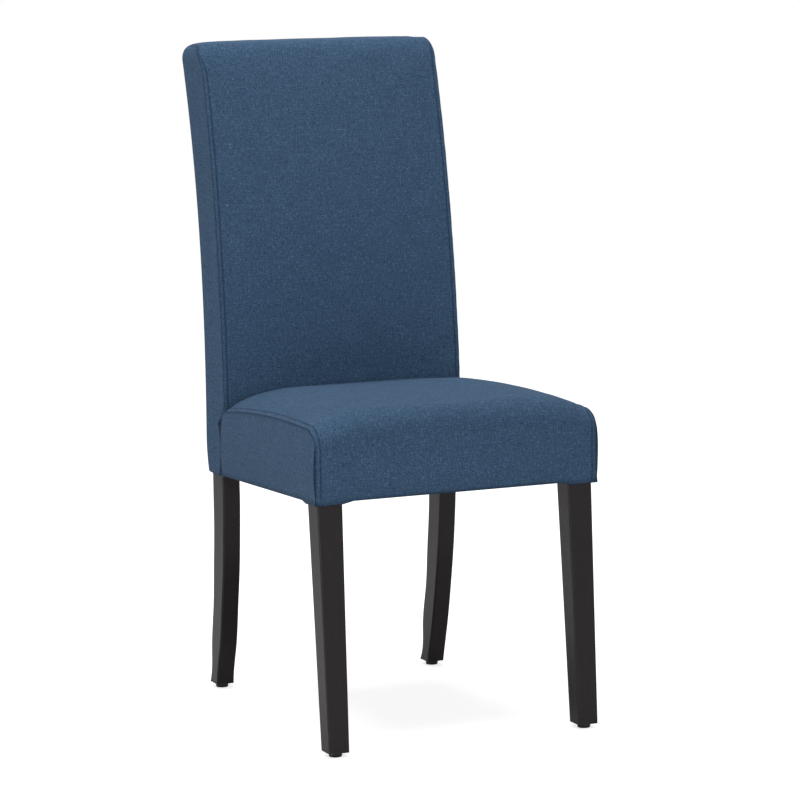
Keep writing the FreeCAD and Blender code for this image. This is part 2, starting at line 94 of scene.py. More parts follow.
def smooth(t):
    """A soft step from 0 to 1, while t goes from 0 to 1."""
    t = min(max(t, 0.0), 1.0)
    return t * t * (3.0 - 2.0 * t)


def gauss(d, width):
    """1 at distance 0, and next to nothing at twice the width."""
    return math.exp(-(d / width) ** 2)


def hem(y):
    """Height of the seat's lower edge."""
    return mix(HEM[0], HEM[1], (y - SEAT_FRONT) / (SEAT_REAR - SEAT_FRONT))


def from_both_ends(total, near, step):
    """Distances from 0 to total: the near ones at both ends and even steps of about step between."""
    left = [d for d in near if d < total * 0.45]
    gap = total - 2 * left[-1]
    count = max(2, round(gap / step))
    middle = [left[-1] + gap * n / count for n in range(1, count)]
    return left + middle + [total - d for d in reversed(left)]


def from_one_end(total, near, step):
    """Distances from 0 to total: the near ones first, and then even steps of about step."""
    left = [d for d in near if d < total * 0.8]
    count = max(2, round((total - left[-1]) / step))
    return left + [mix(left[-1], total, n / count) for n in range(1, count + 1)]


def new_object(name, data):
    obj = bpy.data.objects.new(name, data)
    scene.collection.objects.link(obj)
    return obj


def new_mesh(name, bm):
    mesh = bpy.data.meshes.new(name)
    bm.to_mesh(mesh)
    bm.free()
    return mesh


# A padded shell on a box's lattice

def padded_shell(name, counts, outer, inner, kept, cloth, shift, seam_and_shade_at, free):
    """A closed padded piece. Its faces lie on the lattice of a box with the given counts of cells. outer and
    inner give a lattice point's places on the cover and on the side of the frame, in millimetres. kept says
    which faces there are, cloth gives the cover's flat pattern in metres, and shift moves the cover along its
    normal, for seams and creases. The argument after shift says how far the cover's colour is darkened at a
    point: the seams' own lines with painted shade in their creases, painted shade in the crease beside the
    seat and painted shadow along the hems. free says how far a point is from what holds it, both from 0 to 1."""
    ni, nj, nk = counts
    faces = []

    def face(kind, side, a, b, corners):
        if kept(kind, side, a, b):
            faces.append((kind, side, corners))

    for i in range(ni):
        for j in range(nj):
            face("top", 1, i, j, [(i, j, nk), (i + 1, j, nk), (i + 1, j + 1, nk), (i, j + 1, nk)])
            face("bottom", 0, i, j, [(i, j, 0), (i, j + 1, 0), (i + 1, j + 1, 0), (i + 1, j, 0)])
    for i in range(ni):
        for k in range(nk):
            face("face", 0, i, k, [(i, 0, k), (i + 1, 0, k), (i + 1, 0, k + 1), (i, 0, k + 1)])
            face("face", 1, i, k, [(i, nj, k), (i, nj, k + 1), (i + 1, nj, k + 1), (i + 1, nj, k)])
    for j in range(nj):
        for k in range(nk):
            face("side", 0, j, k, [(0, j, k), (0, j, k + 1), (0, j + 1, k + 1), (0, j + 1, k)])
            face("side", 1, j, k, [(ni, j, k), (ni, j + 1, k), (ni, j + 1, k + 1), (ni, j, k + 1)])

    bm = bmesh.new()
    pattern = bm.loops.layers.uv.new("cloth")
    out_verts, in_verts = {}, {}
    for _, _, corners in faces:
        for key in corners:
            if key not in out_verts:
                out_verts[key] = bm.verts.new(Vector(outer(*key)) * MM)
                in_verts[key] = bm.verts.new(Vector(inner(*key)) * MM)
    used = {}
    cover = set()
    for kind, side, corners in faces:
        made = bm.faces.new([out_verts[key] for key in corners])
        cover.add(made)
        for loop, key in zip(made.loops, corners):
            loop[pattern].uv = cloth(kind, side, *key)
        back = bm.faces.new([in_verts[key] for key in reversed(corners)])
        for loop, key in zip(back.loops, reversed(corners)):
            loop[pattern].uv = cloth(kind, side, *key)
        for a, b in zip(corners, corners[1:] + corners[:1]):
            used.setdefault(frozenset((a, b)), []).append((a, b))
    for pairs in used.values():
        if len(pairs) == 1:
            a, b = pairs[0]
            rim = bm.faces.new([out_verts[b], out_verts[a], in_verts[a], in_verts[b]])
            for loop, key in zip(rim.loops, (b, a, a, b)):
                loop[pattern].uv = cloth("rim", 0, *key)
    bm.normal_update()
    outwards = {}
    for key, vert in out_verts.items():
        normal = Vector()
        for f in vert.link_faces:
            if f in cover:
                normal += f.normal * f.calc_area()
        outwards[key] = normal.normalized() if normal.length else vert.normal.copy()
    for key, vert in out_verts.items():
        vert.co += outwards[key] * (shift(key, vert.co / MM) - SLACK * free(key)) * MM
    places = {key: vert.co.copy() for key, vert in out_verts.items()}
    bm.verts.index_update()
    # The cover's darkening per point: the seams' lines, partly painted shade, and painted shade and painted
    # shadow at creases and hems
    seam_and_shade_values, held = [0.0] * len(bm.verts), [1.0] * len(bm.verts)
    for key, vert in out_verts.items():
        seam_and_shade_values[vert.index] = seam_and_shade_at(key, vert.co / MM)
        held[vert.index] = 1.0 - free(key)
    mesh = new_mesh(name, bm)
    # An attribute that darkens the cover's colour: the seams' lines, partly painted shade, painted shade at the
    # crease between seat and back, and painted shadow along the hems
    seam_and_shade = mesh.attributes.new("seam_and_shade", "FLOAT", "POINT")
    seam_and_shade.data.foreach_set("value", seam_and_shade_values)
    mesh.polygons.foreach_set("use_smooth", [True] * len(mesh.polygons))
    obj = new_object(name, mesh)
    swell(obj, held, PRESSURE[name])
    return obj, places, outwards


# How far the cover starts below its full shape and how far the cloth may carry it, in millimetres, the frames
# that the cloth gets, and the air pressure in each piece
SLACK, REACH, LAST_FRAME = 1.6, 3.4, 20
PRESSURE = {"seat_cushion": 0.4, "back_cushion": 4.0}


def swell(obj, held, pressure):
    """Blows a padded piece's cover up as cloth from its slack shape. The frame's side, the hems and the sewn
    lines are held, and no point moves further than REACH millimetres. The seat's wide panel needs less
    pressure than the back."""
    group = obj.vertex_groups.new(name="held")
    for index, weight in enumerate(held):
        group.add([index], weight, "REPLACE")
    cloth = obj.modifiers.new("cloth", "CLOTH")
    settings = cloth.settings
    settings.quality = 6
    settings.vertex_group_mass = "held"
    settings.use_pressure = True
    settings.uniform_pressure_force = pressure
    settings.tension_stiffness = settings.compression_stiffness = 40.0
    settings.shear_stiffness = 20.0
    settings.bending_stiffness = 4.0
    settings.effector_weights.gravity = 0.0
    cloth.collision_settings.use_collision = False
    cloth.point_cache.frame_start, cloth.point_cache.frame_end = 1, LAST_FRAME
    start_frame = scene.frame_current
    for frame in range(1, LAST_FRAME + 1):
        scene.frame_set(frame)
    ready = obj.evaluated_get(bpy.context.evaluated_depsgraph_get())
    ends = [vert.co.copy() for vert in ready.data.vertices]
    obj.modifiers.remove(cloth)
    scene.frame_set(start_frame)
    for vert, end, hold in zip(obj.data.vertices, ends, held):
        move = end - vert.co
        longest = REACH * MM * (1.0 - hold)
        if move.length > longest:
            move *= longest / move.length
        vert.co += move
    obj.vertex_groups.clear()


# Distances of the lattices' lines from a seam: on a stitched panel, round a soft corner, and on a side panel
NEAR_SEAM = [0.0, 0.8, 1.7, 3.0, 4.6, 6.2, 7.0, 7.8, 9.2, 12.0, 16.5]
ROUND_CORNER = NEAR_SEAM[:-1] + [14.2, 16.5, 19.0, 21.8, 25.0, 29.5, 35.5, 43.0]
SIDE_SEAM = [0.0, 0.8, 1.8, 3.4, 6.0, 9.5]


def seam_line_and_shade(d, stitched):
    """How far the cloth's colour is darkened at distance d from a seam: the crease, and the topstitch's small
    hollows, dark partly from the seam and its thread and partly from painted shade.
    """
    row = 0.85 * gauss(d - TOPSTITCH, 0.8) if stitched else 0.0
    return min(1.0, gauss(d, 1.05) + row)


def seam_shape(d, along, stitched):
    """Height of the cover beside a seam: the sewn crease, the topstitch and the puckers they pull."""
    crease = -0.9 * gauss(d, 1.2)
    lip = 0.4 * gauss(d - 3.4, 1.9)
    row = -0.7 * gauss(d - TOPSTITCH, 1.0) + 0.2 * gauss(d - TOPSTITCH - 3.0, 2.0) if stitched else 0.0
    pull = noise.noise(Vector((along * 0.075, d * 0.02, 3.1 if stitched else 8.7)))
    pucker = 0.5 * pull * math.exp(-max(d - 1.0, 0.0) / 11.0) * (1.0 - gauss(d, 1.0))
    return crease + lip + row + pucker


HELD_WITHIN, FREE_OVER = 9.5, 26.0


def let_go(d):
    """How free the cover is at distance d from what holds it."""
    return smooth((d - HELD_WITHIN) / FREE_OVER)


def unevenness(p, seed):
    """Slow hills and hollows of hand-stretched cloth over foam."""
    q = Vector((p[0], p[1], p[2]))
    broad, small = q * 0.011 + Vector((seed, 0, 0)), q * 0.034 + Vector((0, seed, 0))
    return 0.75 * noise.noise(broad) + 0.25 * noise.noise(small)


# Seat cushion

def quarter(u):
    """How far a quarter round lies below its top at u of its width: 1 at 0, and 0 from 1 on."""
    u = min(max(u, 0.0), 1.0)
    return 1.0 - math.sqrt(max(1.0 - (1.0 - u) ** 2, 0.0))


def seat_half(y):
    """Half of the seat's width at the seams."""
    return mix(SEAT_HALF[0], SEAT_HALF[1], (y - SEAT_FRONT) / (SEAT_REAR - SEAT_FRONT))


def seat_seam_z(y):
    """Height of the top's side seams, which round off downwards at the front."""
    u = (y - SEAT_FRONT) / EDGE_ROUND
    return SEAM_TOP[0] - SEAM_TOP[2] * (y - SEAM_TOP[1]) ** 2 - SEAM_DROP * quarter(u)


def seat_crown_z(y):
    """Height of the top's middle."""
    u = (y - SEAT_FRONT) / EDGE_ROUND
    return CROWN_TOP[0] - CROWN_TOP[2] * (y - CROWN_TOP[1]) ** 2 - CROWN_DROP * quarter(u)


CROWN_FULLNESS = 4.6


def seat_top_z(x, y):
    half = seat_half(y)
    q = max(half - abs(x), 0.0) / half
    low, high = seat_seam_z(y), seat_crown_z(y)
    return low + (high - low) * (1.0 - (1.0 - q) ** CROWN_FULLNESS)


seat_x = [d - SEAT_GRID for d in from_both_ends(2 * SEAT_GRID, NEAR_SEAM, 7.5)]
turn = [SEAT_FRONT + EDGE_ROUND * (1.0 - math.sin(math.radians(a))) for a in range(0, 91, 10)]
flat_length = SEAT_REAR - SEAT_FRONT - EDGE_ROUND
seat_y = [SEAT_REAR - d for d in from_one_end(flat_length, [0.0, 4.0, 9.0], 7.5)] + turn[1:]
seat_k = [1.0 - d / SIDE_TALL for d in reversed(from_one_end(SIDE_TALL, SIDE_SEAM, 7.0))]
seat_k[0] = 0.0
NI, NJ, NK = len(seat_x) - 1, len(seat_y) - 1, len(seat_k) - 1
FLANGE, FRONT_CLOTH = 24.0, 88.0        # cloth turned in under the frame, and the front's way from hem to top

# How far the seat's cover leaves its plain shape, in millimetres
REAR_DROP, REAR_TURN = 18.0, 5.1        # the top's rear corners sink, and the side's rear edge turns in
FRONT_TURN_IN, FRONT_CORNER = 2.4, 0.3  # the front corners are rounded, on the front and on the side
FRONT_BELLY, SIDE_BELLY = 2.8, (1.0, 3.4)
SEAM_PROUD = 0.35                       # share of the side's fullness at the top seam
HEM_TUCK, HEM_DIP = 1.8, 3.4            # the hem goes in to the frame, and dips in front of the front legs
DIP_FROM = (164.0, -226.0)


def corner_turn(d, reach, depth):
    """How far a surface has turned away at a softly rounded corner, at distance d from it."""
    return depth * (1.0 - min(max(d, 0.0) / reach, 1.0)) ** 2


def seat_outer(i, j, k):
    """Place of a lattice point on the seat's cover. j runs from rear to front, k from the hem to the top."""
    y = seat_y[j]
    half = seat_half(y)
    u = seat_x[i] / SEAT_GRID
    behind, ahead = SEAT_REAR - y, y - SEAT_FRONT
    f = seat_k[k]
    belly = 4.0 * f * (1.0 - f)
    x = u * half
    edge = SEAT_GRID - abs(seat_x[i])
    drop = REAR_DROP * quarter(behind / 30.0) * math.exp(-(edge / 28.0) ** 2)
    top = seat_top_z(x, y) - drop
    z = mix(hem(y), top, f)
    tuck_in = (1.0 - smooth(f / 0.07)) * (1.0 + 0.3 * corner_turn(edge if j == NJ else ahead, 14.0, 1.0))
    rear_turn = REAR_TURN * quarter(behind / 11.0)
    if j == NJ and k < NK:
        rounded = corner_turn(edge, 16.0, FRONT_TURN_IN)
        y += -FRONT_BELLY * belly * (1.0 - abs(u) ** 3.0) + HEM_TUCK * tuck_in + rounded
    elif k == NK:
        y += corner_turn(edge, 16.0, FRONT_TURN_IN) * (1.0 - smooth(ahead / EDGE_ROUND))
    turned = corner_turn(ahead, 15.0, FRONT_CORNER) + rear_turn
    if i in (0, NI):
        proud = mix(*SIDE_BELLY, belly) * (1.0 if k < NK else SEAM_PROUD)
        x += math.copysign(proud - HEM_TUCK * tuck_in - turned, u)
    else:
        x -= u ** 3 * (turned - (SEAM_PROUD if k == NK else 0.0))
    if k == 0:
        z -= HEM_DIP * smooth((abs(x) - DIP_FROM[0]) / 10.0) * smooth((DIP_FROM[1] - y) / 10.0)
    return x, y, z


# The seat's inner side: how far it stays within the cover at the sides and the front, its height over the hem,
# and the half of its width at the rear, where it meets the posts
WITHIN_SIDE, WITHIN_FRONT, OVER_HEM, REAR_RETURN = 3.4, 4.9, (1.6, 64.9), 193.0


def seat_inner(i, j, k):
    """Place of the same point on the side of the frame, where the cover closes."""
    y = seat_y[j]
    corner = 0.9 if i in (0, NI) and j == NJ else 0.0
    half = REAR_RETURN if j == 0 else seat_half(y) - WITHIN_SIDE - corner
    low, ceiling = (hem(y) + over for over in OVER_HEM)
    back_by = (WITHIN_FRONT + corner) * (SEAT_REAR - y) / (SEAT_REAR - SEAT_FRONT)
    return seat_x[i] / SEAT_GRID * half, y + back_by, mix(low, ceiling, seat_k[k])


def seat_kept(kind, side, a, b):
    """The rear is open towards the back's frame, and underneath there is only a turned-in edge."""
    if kind == "bottom":
        x = (seat_x[a] + seat_x[a + 1]) / 2
        y = (seat_y[b] + seat_y[b + 1]) / 2
        return abs(x) > SEAT_GRID - FLANGE or y < SEAT_FRONT + FLANGE
    return not (kind == "face" and side == 0)


seat_run = [0.0]
for j in range(1, NJ + 1):
    a, b = Vector(seat_outer(NI // 2, j - 1, NK)), Vector(seat_outer(NI // 2, j, NK))
    seat_run.append(seat_run[-1] + (a - b).length)


def seat_cloth(kind, side, i, j, k):
    """The flat pattern in metres: one strip over top and front, and the side panels elsewhere."""
    if kind == "side":
        return seat_y[j] * MM, (mix(0.0, SIDE_TALL, seat_k[k])) * MM + 0.7 * side + 1.3
    if kind == "face":
        return seat_x[i] * MM, (seat_run[-1] + (1.0 - seat_k[k]) * FRONT_CLOTH) * MM
    return seat_x[i] * MM, seat_run[j] * MM


def seat_shift(key, p):
    i, j, k = key
    if k == 0:
        return 0.8 * seam_shape(0.0, p[1], False) if j == NJ and i in (0, NI) else 0.0
    rise = unevenness(p, 1.7)
    edge = SEAT_GRID - abs(seat_x[i])
    height = (1.0 - seat_k[k]) * SIDE_TALL
    if i in (0, NI):
        ahead = seat_y[j] - SEAT_FRONT
        d = min(height, ahead)
        return rise * smooth(d / 20.0) + seam_shape(d, p[1] + p[2], False)
    rise *= smooth(edge / 25.0)
    along = p[1] if k == NK and j < NJ else SEAT_FRONT - height
    press = -1.2 * gauss(SEAT_REAR - p[1], 7.0) if k == NK else 0.0
    return rise + seam_shape(edge, along, True) + press


def seat_seams_and_shade(key, p):
    i, j, k = key
    height = (1.0 - seat_k[k]) * SIDE_TALL
    # Painted shade on the seat's top and sides at the crease where its rear meets the back
    crease_shade = gauss(max(SEAT_REAR - 1.0 - p[1], 0.0), 5.5)
    # Painted shadow along the hem's lower edge
    if k == 0:
        return 0.5
    if i in (0, NI):
        return max(seam_line_and_shade(min(height, seat_y[j] - SEAT_FRONT), False), crease_shade)
    return max(seam_line_and_shade(SEAT_GRID - abs(seat_x[i]), True), crease_shade)


def seat_free(key):
    i, j, k = key
    height, ahead, behind = (1.0 - seat_k[k]) * SIDE_TALL, seat_y[j] - SEAT_FRONT, SEAT_REAR - seat_y[j]
    side = min(height, ahead) if i in (0, NI) else SEAT_GRID - abs(seat_x[i])
    return 0.0 if k == 0 else let_go(min(side, SIDE_TALL - height, behind))


seat_cushion, seat_places, seat_normals = padded_shell(
    "seat_cushion", (NI, NJ, NK), seat_outer, seat_inner, seat_kept, seat_cloth, seat_shift, seat_seams_and_shade,
    seat_free)


# Back cushion

BEND_START, BEND_SPAN = 380.0, 600.0    # the heights that the back's bend and thickness are given over
CURL_BELOW, CURL = 395.0, 10.0          # the back's lower end curls in under this height, by this much
FRONT_LIMIT = SEAT_REAR + 1.0           # the front's lower end stays just behind the seat


def back_rear_y(z):
    s = (z - BEND_START) / BEND_SPAN
    a, b, c, d = BACK_BEND
    return a + b * s + c * s * s + d * s ** 3 - CURL * (max(CURL_BELOW - z, 0.0) / 58.0) ** 2


def back_front_y(z):
    s = (z - BEND_START) / BEND_SPAN
    a, b, c = BACK_THICKNESS
    return max(back_rear_y(max(z, CURL_BELOW)) - (a + b * s + c * s * s), FRONT_LIMIT)


def back_half(z):
    """Half of the back's width at the seams."""
    return mix(BACK_HALF[0], BACK_HALF[1], (z - BACK_LOW) / (HEIGHT - BACK_LOW))


LEG_BEND, LEG_DROP = 320.0, 313.1       # the rear leg curves from here down, and ends this far below


def post_faces(z):
    """Where the front and the rear face of the rear leg and its post lie, as in the part's source."""
    kick = (max(LEG_BEND - z, 0.0) / LEG_DROP) ** 1.8
    front, rear = 147.0 + 49.6 * kick, 190.5 + 37.3 * kick
    w = smooth((z - LEG_BEND) / 130.0)
    return mix(front, back_front_y(z) + 26.0, w), mix(rear, back_rear_y(z) - 8.0, w)


back_x = [d - BACK_GRID for d in from_both_ends(2 * BACK_GRID, ROUND_CORNER, 8.0)]
back_j = [d / GUSSET for d in from_both_ends(GUSSET, SIDE_SEAM, 6.5)]
ROW_STEP = 8.6
rows = [BACK_LOW + d for d in (0.0, 2.0, 5.0, 10.0)]
while rows[-1] < HEIGHT - TOP_ROUND - 12.0:
    rows.append(rows[-1] + ROW_STEP)
rows += [HEIGHT - TOP_ROUND + TOP_ROUND * math.sin(math.radians(a)) for a in range(0, 91, 9)]
BI, BJ, BK = len(back_x) - 1, len(back_j) - 1, len(rows) - 1


# The back's upper corners: the cloth that goes round each, how far the seam leans back at the top, the radius
# there and how far the corner sinks, left and right
CORNER_CLOTH = 60.0
SEAM_LEAN, FRONT_TURN, CORNER_DROP = (22.0, 9.0), (9.0, 4.0), (8.6, 2.6)
FOAM_TOP = 950.6                        # the upper end of the back's inner side
GUSSET_BELLY = 1.5
FRONT_FULL, FRONT_LOW = 5.7, 0.3        # how far the front's middle stands out, above and at the seat
REAR_FULL = 6.2


def round_the_corner(edge, lean, radius):
    """Where the front's cloth lies at a distance from its side seam, as the seam leans back along the side:
    how far inwards from the side, and how far behind the front."""
    radius = min(radius, lean)
    straight, bend = lean - radius, radius * math.pi / 2
    if edge >= CORNER_CLOTH:
        return edge, 0.0
    run = straight + bend + CORNER_CLOTH - radius
    way = edge if edge < 12.0 else mix(12.0, run, (edge - 12.0) / (CORNER_CLOTH - 12.0))
    if way < straight:
        return 0.0, lean - way
    if way < straight + bend:
        angle = (way - straight) / radius
        return radius * (1.0 - math.cos(angle)), radius * (1.0 - math.sin(angle))
    return radius + way - straight - bend, 0.0


def back_outer(i, j, k):
    """Place of a lattice point on the back's cover. j runs from the front to the rear, k upwards."""
    z = rows[k]
    down = HEIGHT - z
    fall = quarter(down / TOP_ROUND)
    half = back_half(z) - 7.0 * fall - 1.2 * quarter(down / 60.0)
    u = back_x[i] / BACK_GRID
    edge = BACK_GRID - abs(back_x[i])
    right = 1 if u > 0 else 0
    lean = SEAM_LEAN[right] * max(1.0 - down / 50.0, 0.0) ** 1.6
    inward, behind = round_the_corner(edge, lean, FRONT_TURN[right] * lean / SEAM_LEAN[right])
    inside = 1.0 - inward / BACK_GRID
    front = back_front_y(z) + mix(17.0, 15.0, math.exp(-edge / 20.0)) * fall + behind
    front -= (FRONT_LOW + FRONT_FULL * smooth((z - 468.0) / 110.0)) * (1.0 - inside ** 3.0) * (1.0 - 0.6 * fall)
    crown = 1.0 - u * u
    rear = back_rear_y(z) - 14.0 * fall + REAR_FULL * crown * (1.0 - 0.4 * fall)
    v = back_j[j]
    x = mix(math.copysign(inside, u), u, v) * half
    y = mix(front, rear, v)
    if i in (0, BI) and 0 < j < BJ:
        x += math.copysign(GUSSET_BELLY * 4.0 * v * (1.0 - v) * (1.0 - fall), x)
    z -= CORNER_DROP[right] * (1.0 - smooth(down / 40.0)) * math.exp(-edge / 11.0) * mix(0.7, 1.0, v)
    if k == BK:
        z += 1.4 * crown * 4.0 * v * (1.0 - v) - 1.4
    return x, y, z


def back_inner(i, j, k):
    """Place of the same point on the side of the frame. Beside the seat the gusset closes against it."""
    z = mix(BACK_LOW + 1.7, FOAM_TOP, (rows[k] - BACK_LOW) / (HEIGHT - BACK_LOW))
    front, rear = post_faces(z)
    u = back_x[i] / BACK_GRID
    y = mix(front - 2.0, rear + 3.0, back_j[j])
    if j == 0 and rows[k] < TUCK - 1.0:
        y = SEAT_REAR - 0.1
    return u * (back_half(rows[k]) - 1.9), y, z


def back_kept(kind, side, _, b):
    """The front is open where the seat joins it, and the lower end where the seat's frame goes in."""
    if kind == "bottom":
        return back_j[b + 1] > 0.25
    if kind == "face" and side == 0:
        return rows[b] > TUCK - 1.0
    return True


back_run = [rows[0]]
for k in range(1, BK + 1):
    a, b = Vector(back_outer(BI // 2, 0, k - 1)), Vector(back_outer(BI // 2, 0, k))
    back_run.append(back_run[-1] + (a - b).length)


def back_cloth(kind, side, i, j, k):
    """The flat pattern in metres: one strip over front, top and rear, and the gussets elsewhere."""
    if kind == "side":
        return (back_j[j] * GUSSET) * MM + 2.1 + side, rows[k] * MM
    if kind == "face":
        return back_x[i] * MM, (back_run[k] if side == 0 else 2300.0 - back_run[k]) * MM + 3.0
    return back_x[i] * MM, (back_run[-1] + back_j[j] * 40.0) * MM + 3.0


REAR_SEAM = 0.35                        # share of a seam's shape on the rear side, where it is flatter


def back_shift(key, p):
    i, j, k = key
    if k == 0:
        return 0.0
    rise = unevenness(p, 5.3)
    edge = BACK_GRID - abs(back_x[i])
    deep = GUSSET * min(back_j[j], 1.0 - back_j[j])
    behind = REAR_SEAM if back_j[j] > 0.5 else 1.0
    if i in (0, BI):
        if k == BK:
            deep = 0.0
        return rise * smooth(deep / 20.0) + behind * seam_shape(deep, p[2], False) + 1.4 * (1.0 - behind)
    rise *= smooth(edge / 25.0)
    return rise + behind * seam_shape(edge, p[2] + p[1] * 0.5, True) + 1.4 * (1.0 - behind) * gauss(edge, 9.0)


def back_seams_and_shade(key, p):
    i, j, k = key
    # Painted shadow along the hem's lower edge
    if k == 0:
        return 0.5
    if i in (0, BI):
        # Painted shade on the gusset's front edge in the crease beside the seat, fading out above it
        beside_seat = 1.0 - smooth((rows[k] - 424.0) / 18.0)
        crease_shade = 0.85 * (1.0 - smooth((GUSSET * back_j[j] - 3.0) / 13.0)) * beside_seat
        return max(crease_shade, seam_line_and_shade(0.0 if k == BK else GUSSET * min(back_j[j], 1.0 - back_j[j]), False))
    return seam_line_and_shade(BACK_GRID - abs(back_x[i]), True)


def back_free(key):
    i, j, k = key
    side = GUSSET * min(back_j[j], 1.0 - back_j[j]) if i in (0, BI) else BACK_GRID - abs(back_x[i])
    low = rows[k] - (TUCK + 45.0 if j == 0 else BACK_LOW)
    return let_go(min(side, low, HEIGHT - rows[k] + 14.0))


back_cushion, back_places, back_normals = padded_shell(
    "back_cushion", (BI, BJ, BK), back_outer, back_inner, back_kept, back_cloth, back_shift, back_seams_and_shade,
    back_free)


# Dust cover under the seat

LINING_FRONT, LINING_BEND, LINING_REAR, LINING_HALF = -266.0, 126.0, 165.0, 199.0
LEG_NOTCH = (168.0, -228.0)


def lining_z(y):
    """Height of the dust cover's upper face, which bends down to the back's hem behind the seat."""
    down = min(max((y - LINING_BEND) / 22.0, 0.0), 1.0)
    return mix(hem(min(y, LINING_BEND)), BACK_LOW - 0.05, down)


def cut_across(bm, spot, way):
    bmesh.ops.bisect_plane(bm, geom=bm.verts[:] + bm.edges[:] + bm.faces[:], plane_co=spot, plane_no=way)


def dust_cover_sheet():
    half = [(LEG_NOTCH[0], LINING_FRONT), LEG_NOTCH, (LINING_HALF, LEG_NOTCH[1]), (184, 118),
            (150, LINING_BEND), (150, LINING_REAR)]
    outline = [(-x, y) for x, y in half[:1]] + half + [(-x, y) for x, y in reversed(half[1:])]
    bm = bmesh.new()
    face = bm.faces.new([bm.verts.new((x, y, 0.0)) for x, y in outline])
    if face.normal.z > 0:
        face.normal_flip()
    for x in range(-195, 200, 9):
        cut_across(bm, (x, 0, 0), (1, 0, 0))
    for y in range(-260, 165, 9):
        cut_across(bm, (0, y, 0), (0, 1, 0))
    bm.normal_update()
    pattern = bm.loops.layers.uv.new("cloth")
    for f in bm.faces:
        for loop in f.loops:
            loop[pattern].uv = (loop.vert.co.x * MM, loop.vert.co.y * MM)
    for v in bm.verts:
        x, y = v.co.x, v.co.y
        side = 190.0 - abs(x)
        ahead = y - LINING_FRONT
        edge = max(0.0, min(side, ahead, 158.0 - y))
        uneven = noise.noise(Vector((x * 0.012, y * 0.012, 4.0)))
        sag = -1.6 * smooth(edge / 120.0) + 0.7 * uneven * smooth(edge / 40.0)
        gather = 0.35 * math.sin(y * 0.114 if side < ahead else x * 0.126) * gauss(edge - 12.0, 14.0)
        v.co.z = lining_z(y) - 0.35 + sag + gather * 0.6
    if sum(f.normal.z for f in bm.faces) > 0:
        bmesh.ops.reverse_faces(bm, faces=bm.faces[:])
    bm.transform(Matrix.Scale(MM, 4))
    obj = new_object("dust_cover_cloth", new_mesh("dust_cover_cloth", bm))
    thick = obj.modifiers.new("thickness", "SOLIDIFY")
    thick.thickness, thick.offset = 0.0005, 0.0
    apply_modifiers(obj)
    obj.data.polygons.foreach_set("use_smooth", [True] * len(obj.data.polygons))
    return obj


def apply_modifiers(obj):
    """Turns what the modifiers make into the piece's plain mesh."""
    ready = obj.evaluated_get(bpy.context.evaluated_depsgraph_get())
    mesh = bpy.data.meshes.new_from_object(ready)
    obj.modifiers.clear()
    old, obj.data = obj.data, mesh
    mesh.name = old.name
    bpy.data.meshes.remove(old)


dust_cloth = dust_cover_sheet()


# Webbing inside the seat and the back

def webbing_piece(name, replaced, along, across):
    """The straps of a node as woven bands, cut into short lengths so that they can ripple a little."""
    bm = bmesh.new()
    bm.from_mesh(nodes[replaced].data)
    bmesh.ops.remove_doubles(bm, verts=bm.verts[:], dist=0.02 * MM)
    low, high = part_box(replaced)
    count = int((high[along] - low[along]) / (11.0 * MM))
    way = Vector([1.0 if axis == along else 0.0 for axis in range(3)])
    for n in range(1, count):
        cut_across(bm, way * mix(low[along], high[along], n / count), way)
    for vert in bm.verts:
        spot = Vector((vert.co.x * 14.0, 0.0 if across == 1 else vert.co.y * 14.0, vert.co.z * 3.0))
        vert.co[across] += 0.12 * MM * noise.noise(spot)
    bmesh.ops.triangulate(bm, faces=[f for f in bm.faces if len(f.verts) > 4])
    return new_object(name, new_mesh(name, bm))


webbing_pieces = {
    "seat_webbing_lengthwise": webbing_piece("lengthwise_straps", "seat_webbing_lengthwise", 1, 2),
    "seat_webbing_crosswise": webbing_piece("crosswise_straps", "seat_webbing_crosswise", 0, 2),
    "back_webbing": webbing_piece("back_straps", "back_webbing", 0, 1),
}


# Materials

class Board:
    """A node tree with short calls to add and join nodes."""

    def __init__(self, tree):
        self.tree, self.nodes, self.links = tree, tree.nodes, tree.links

    def add(self, kind, **settings):
        node = self.nodes.new(kind)
        for name, value in settings.items():
            setattr(node, name, value)
        return node

    def join(self, source, target):
        self.links.new(source, target)
        return target

    def value(self, socket, given):
        if hasattr(given, "is_output"):
            self.join(given, socket)
        elif given is not None:
            socket.default_value = given

    def math(self, operation, a, b=None, clamp=False):
        node = self.add("ShaderNodeMath", operation=operation, use_clamp=clamp)
        self.value(node.inputs[0], a)
        self.value(node.inputs[1], b)
        return node.outputs[0]

    def mixed(self, factor, a, b):
        node = self.add("ShaderNodeMix", data_type="RGBA")
        self.value(node.inputs[0], factor)
        self.value(node.inputs[6], a)
        self.value(node.inputs[7], b)
        return node.outputs[2]

    def ramp(self, source, stops):
        """A soft step. The stops are where it starts and ends, and its values there."""
        node = self.add("ShaderNodeMapRange", interpolation_type="SMOOTHSTEP")
        self.value(node.inputs["Value"], source)
        for socket, number in zip(("From Min", "From Max", "To Min", "To Max"), stops):
            node.inputs[socket].default_value = number
        return node.outputs["Result"]

    def scaled(self, vector, scale):
        node = self.add("ShaderNodeMapping")
        self.join(vector, node.inputs["Vector"])
        node.inputs["Scale"].default_value = scale
        return node.outputs["Vector"]

    def noise(self, vector, scale, detail=2.0, rough=0.5):
        node = self.add("ShaderNodeTexNoise")
        self.join(vector, node.inputs["Vector"])
        node.inputs["Scale"].default_value = scale
        node.inputs["Detail"].default_value = detail
        node.inputs["Roughness"].default_value = rough
        return node.outputs["Fac"]


def new_group(name, inputs, outputs):
    """A shared effect with named inputs and outputs."""
    group = bpy.data.node_groups.new(name, "ShaderNodeTree")
    for label, kind, start in inputs:
        socket = group.interface.new_socket(label, in_out="INPUT", socket_type=kind)
        if start is not None:
            socket.default_value = start
    for label, kind in outputs:
        group.interface.new_socket(label, in_out="OUTPUT", socket_type=kind)
    board = Board(group)
    return group, board, board.add("NodeGroupInput").outputs, board.add("NodeGroupOutput").inputs


